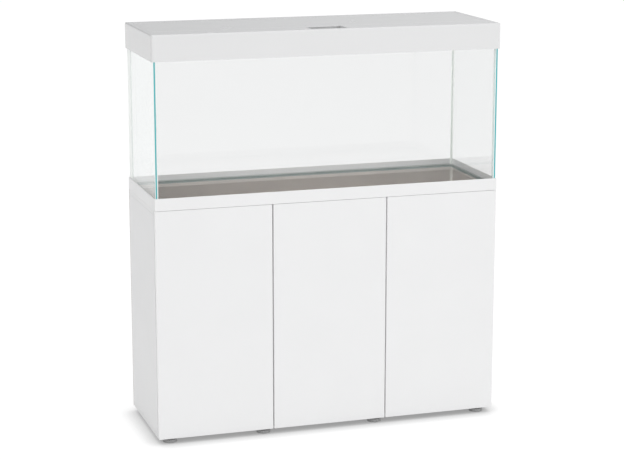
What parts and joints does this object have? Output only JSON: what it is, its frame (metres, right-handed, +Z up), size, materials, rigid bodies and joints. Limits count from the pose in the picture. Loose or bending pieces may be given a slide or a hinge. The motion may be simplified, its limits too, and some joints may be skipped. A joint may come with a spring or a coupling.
{
  "type": "aquarium stand cabinet with tank and hood",
  "caption": "Tall rectangular stand cabinet with hinged flush doors on levelling feet, carrying a glass tank in a base frame under a flat-topped hood with a lifting flap.",
  "frame": {"origin": "on the floor, at the centre of the stand's footprint", "axes": "+X to the right seen from the front, +Y towards the back, +Z up; the doors face -Y"},
  "size_m": [1.21, 0.408, 1.379],
  "materials": {
    "laminate": "white melamine on chipboard, satin",
    "door_laminate": "white melamine on chipboard, silk",
    "steel": "nickel-plated",
    "grey_plastic": "matte",
    "foot_plastic": "matte",
    "white_plastic": "semi-gloss",
    "hood_plastic": "gloss",
    "deck": "raw fibreboard",
    "mat": "closed-cell foam",
    "glass": "clear float glass, polished edges",
    "tube_glass": "opal glass",
    "silicone": "translucent silicone",
    "aluminium": "satin anodised"
  },
  "bodies": {
    "cabinet": {"bottom_board": "laminate", "top_board": "laminate", "side_panel_left": "laminate", "side_panel_right": "laminate", "divider_left": "laminate", "divider_right": "laminate", "back_panel": "laminate", "shelf_left": "laminate", "shelf_right": "laminate", "back_panel_screws": "steel", "hose_grommets": "grey_plastic", "shelf_pins": "steel", "cam_fittings": "steel", "hinge_plates": "steel", "hinge_arms": "steel", "hinge_plate_screws": "steel", "latch_housings": "grey_plastic", "latch_screws": "steel", "foot_sockets": "grey_plastic", "base_frame": "white_plastic", "deck_board": "deck", "support_mat": "mat", "glass_bottom": "glass", "glass_front": "glass", "glass_back": "glass", "glass_left": "glass", "glass_right": "glass", "silicone_beads": "silicone", "glass_braces": "glass"},
    "door_left": {"door_left": "door_laminate", "hinge_cups_left": "steel", "strike_plate_left": "steel"},
    "door_middle": {"door_middle": "door_laminate", "hinge_cups_middle": "steel", "strike_plate_middle": "steel"},
    "door_right": {"door_right": "door_laminate", "hinge_cups_right": "steel", "strike_plate_right": "steel"},
    "link_left": {"hinge_link_left": "steel"},
    "link_middle": {"hinge_link_middle": "steel"},
    "link_right": {"hinge_link_right": "steel"},
    "plunger_left": {"latch_plunger_left": "grey_plastic"},
    "plunger_middle": {"latch_plunger_middle": "grey_plastic"},
    "plunger_right": {"latch_plunger_right": "grey_plastic"},
    "hood": {"hood_frame": "hood_plastic", "hood_seat_rails": "hood_plastic", "hood_hinge_pins": "steel", "light_bar": "aluminium", "light_tubes": "tube_glass"},
    "flap": {"hood_flap": "hood_plastic"},
    "foot_1": {"foot_1": "foot_plastic"},
    "foot_2": {"foot_2": "foot_plastic"},
    "foot_3": {"foot_3": "foot_plastic"},
    "foot_4": {"foot_4": "foot_plastic"},
    "foot_5": {"foot_5": "foot_plastic"},
    "foot_6": {"foot_6": "foot_plastic"},
    "foot_7": {"foot_7": "foot_plastic"},
    "foot_8": {"foot_8": "foot_plastic"}
  },
  "joints": [
    {"name": "door_left_hinge", "type": "hinge", "parent": "cabinet", "child": "door_left", "pos_m": [-0.5963, -0.1965, 0.411], "axis": [0, 0, -1], "range_deg": [0, 95]},
    {"name": "door_middle_hinge", "type": "hinge", "parent": "cabinet", "child": "door_middle", "pos_m": [-0.19397, -0.1965, 0.411], "axis": [0, 0, -1], "range_deg": [0, 95]},
    {"name": "door_right_hinge", "type": "hinge", "parent": "cabinet", "child": "door_right", "pos_m": [0.5963, -0.1965, 0.411], "axis": [0, 0, 1], "range_deg": [0, 95]},
    {"name": "flap_hinge", "type": "hinge", "parent": "hood", "child": "flap", "pos_m": [0, 0.154, 1.375], "axis": [-1, 0, 0], "range_deg": [0, 85]},
    {"name": "hood_lift", "type": "slide", "parent": "cabinet", "child": "hood", "axis": [0, 0, 1], "range_m": [0, 0.06]},
    {"name": "link_left_pivot", "type": "hinge", "parent": "cabinet", "child": "link_left", "pos_m": [-0.5703, -0.1845, 0.411], "axis": [0, 0, 1], "range_deg": [0, 41]},
    {"name": "link_middle_pivot", "type": "hinge", "parent": "cabinet", "child": "link_middle", "pos_m": [-0.16797, -0.1845, 0.411], "axis": [0, 0, 1], "range_deg": [0, 41]},
    {"name": "link_right_pivot", "type": "hinge", "parent": "cabinet", "child": "link_right", "pos_m": [0.5703, -0.1845, 0.411], "axis": [0, 0, -1], "range_deg": [0, 41]},
    {"name": "latch_left_push", "type": "slide", "parent": "cabinet", "child": "plunger_left", "axis": [0, -1, 0], "range_m": [0, 0.025]},
    {"name": "latch_middle_push", "type": "slide", "parent": "cabinet", "child": "plunger_middle", "axis": [0, -1, 0], "range_m": [0, 0.025]},
    {"name": "latch_right_push", "type": "slide", "parent": "cabinet", "child": "plunger_right", "axis": [0, -1, 0], "range_m": [0, 0.025]},
    {"name": "foot_1_turn", "type": "hinge", "parent": "cabinet", "child": "foot_1", "pos_m": [-0.556, -0.164, 0], "axis": [0, 0, 1], "range_deg": [-180, 180]},
    {"name": "foot_2_turn", "type": "hinge", "parent": "cabinet", "child": "foot_2", "pos_m": [-0.228, -0.164, 0], "axis": [0, 0, 1], "range_deg": [-180, 180]},
    {"name": "foot_3_turn", "type": "hinge", "parent": "cabinet", "child": "foot_3", "pos_m": [0.174, -0.164, 0], "axis": [0, 0, 1], "range_deg": [-180, 180]},
    {"name": "foot_4_turn", "type": "hinge", "parent": "cabinet", "child": "foot_4", "pos_m": [0.556, -0.164, 0], "axis": [0, 0, 1], "range_deg": [-180, 180]},
    {"name": "foot_5_turn", "type": "hinge", "parent": "cabinet", "child": "foot_5", "pos_m": [-0.556, 0.164, 0], "axis": [0, 0, 1], "range_deg": [-180, 180]},
    {"name": "foot_6_turn", "type": "hinge", "parent": "cabinet", "child": "foot_6", "pos_m": [-0.228, 0.164, 0], "axis": [0, 0, 1], "range_deg": [-180, 180]},
    {"name": "foot_7_turn", "type": "hinge", "parent": "cabinet", "child": "foot_7", "pos_m": [0.174, 0.164, 0], "axis": [0, 0, 1], "range_deg": [-180, 180]},
    {"name": "foot_8_turn", "type": "hinge", "parent": "cabinet", "child": "foot_8", "pos_m": [0.556, 0.164, 0], "axis": [0, 0, 1], "range_deg": [-180, 180]}
  ],
  "couplings": [
    {"joint": "link_left_pivot", "follows": "door_left_hinge", "ratio": 0.43},
    {"joint": "link_middle_pivot", "follows": "door_middle_hinge", "ratio": 0.43},
    {"joint": "link_right_pivot", "follows": "door_right_hinge", "ratio": 0.43},
    {"joint": "latch_left_push", "follows": "door_left_hinge", "m_per_rad": 0.015},
    {"joint": "latch_middle_push", "follows": "door_middle_hinge", "m_per_rad": 0.015},
    {"joint": "latch_right_push", "follows": "door_right_hinge", "m_per_rad": 0.015}
  ]
}
